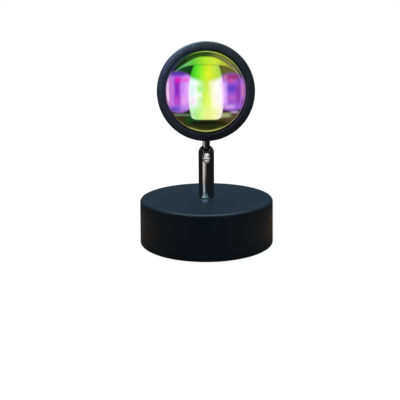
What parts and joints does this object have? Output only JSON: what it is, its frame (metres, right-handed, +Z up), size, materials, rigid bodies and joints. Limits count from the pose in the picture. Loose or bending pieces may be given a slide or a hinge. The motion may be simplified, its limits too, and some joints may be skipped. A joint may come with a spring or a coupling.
{
  "type": "projection lamp",
  "caption": "Small table projection lamp: round weighted base, short slotted post with a ball joint, and a round head with a domed lens, colour filter and finned heat sink.",
  "frame": {"origin": "centre of the foot pad's lower face, on the surface the lamp stands on, under the post", "axes": "+Z up along the post, the lens looks along -Y, the lead enters at +Y"},
  "size_m": [0.1, 0.1032, 0.1443],
  "materials": {
    "black_coat": "satin",
    "black_aluminium": "satin black powder coat",
    "cast_weight": "as cast",
    "cover_plastic": "fine texture",
    "plated_steel": "zinc plated",
    "foam_pad": "matte foam",
    "black_rubber": "matte",
    "lead_jacket": "satin",
    "white_nylon": "satin",
    "zinc_yellow": "yellow zinc",
    "dark_chrome": "polished, smoked",
    "seat_nylon": "moulded",
    "spring_steel": "bright drawn wire",
    "bright_chrome": "polished",
    "clear_glass": "polished",
    "coated_glass": "thin-film coating",
    "black_plastic": "moulded",
    "bright_reflector": "vacuum metallised",
    "white_board": "solder mask on aluminium",
    "led_phosphor": "silicone",
    "wire_jacket": "satin",
    "grey_silicone": "matte",
    "green_board": "solder mask"
  },
  "bodies": {
    "stand": {"base_shell": "black_coat", "base_weight": "cast_weight", "bottom_cover": "cover_plastic", "cover_screws": "plated_steel", "foot_pad": "foam_pad", "lead_grommet": "black_rubber", "base_lead": "lead_jacket", "lead_tie": "white_nylon", "threaded_nipple": "zinc_yellow", "clamp_washer": "plated_steel", "clamp_nut": "plated_steel", "socket_post": "dark_chrome", "ball_seat": "seat_nylon", "seat_spring": "spring_steel", "spring_plug": "zinc_yellow"},
    "ball": {"ball_stud": "bright_chrome", "neck_lead": "lead_jacket"},
    "head": {"head_housing": "black_aluminium", "stud_washer": "plated_steel", "stud_nut": "plated_steel", "front_bezel": "black_aluminium", "lens_gasket": "black_rubber", "projection_lens": "clear_glass", "color_filter": "coated_glass", "filter_ring": "black_plastic", "reflector": "bright_reflector", "led_board": "white_board", "led_emitter": "led_phosphor", "led_screws": "plated_steel", "led_wires": "wire_jacket", "thermal_pad": "grey_silicone", "heat_sink": "black_aluminium", "driver_board": "green_board", "driver_parts": "black_plastic", "driver_screws": "plated_steel", "head_lead": "lead_jacket", "rear_cover": "black_aluminium", "rear_screws": "plated_steel"}
  },
  "joints": [
    {"name": "tilt", "type": "hinge", "parent": "stand", "child": "ball", "pos_m": [0, 0, 0.0671], "axis": [1, 0, 0], "range_deg": [0, 68]},
    {"name": "swivel", "type": "hinge", "parent": "ball", "child": "head", "pos_m": [0, 0, 0.0671], "axis": [0, 0, 1], "range_deg": [-180, 180]}
  ]
}
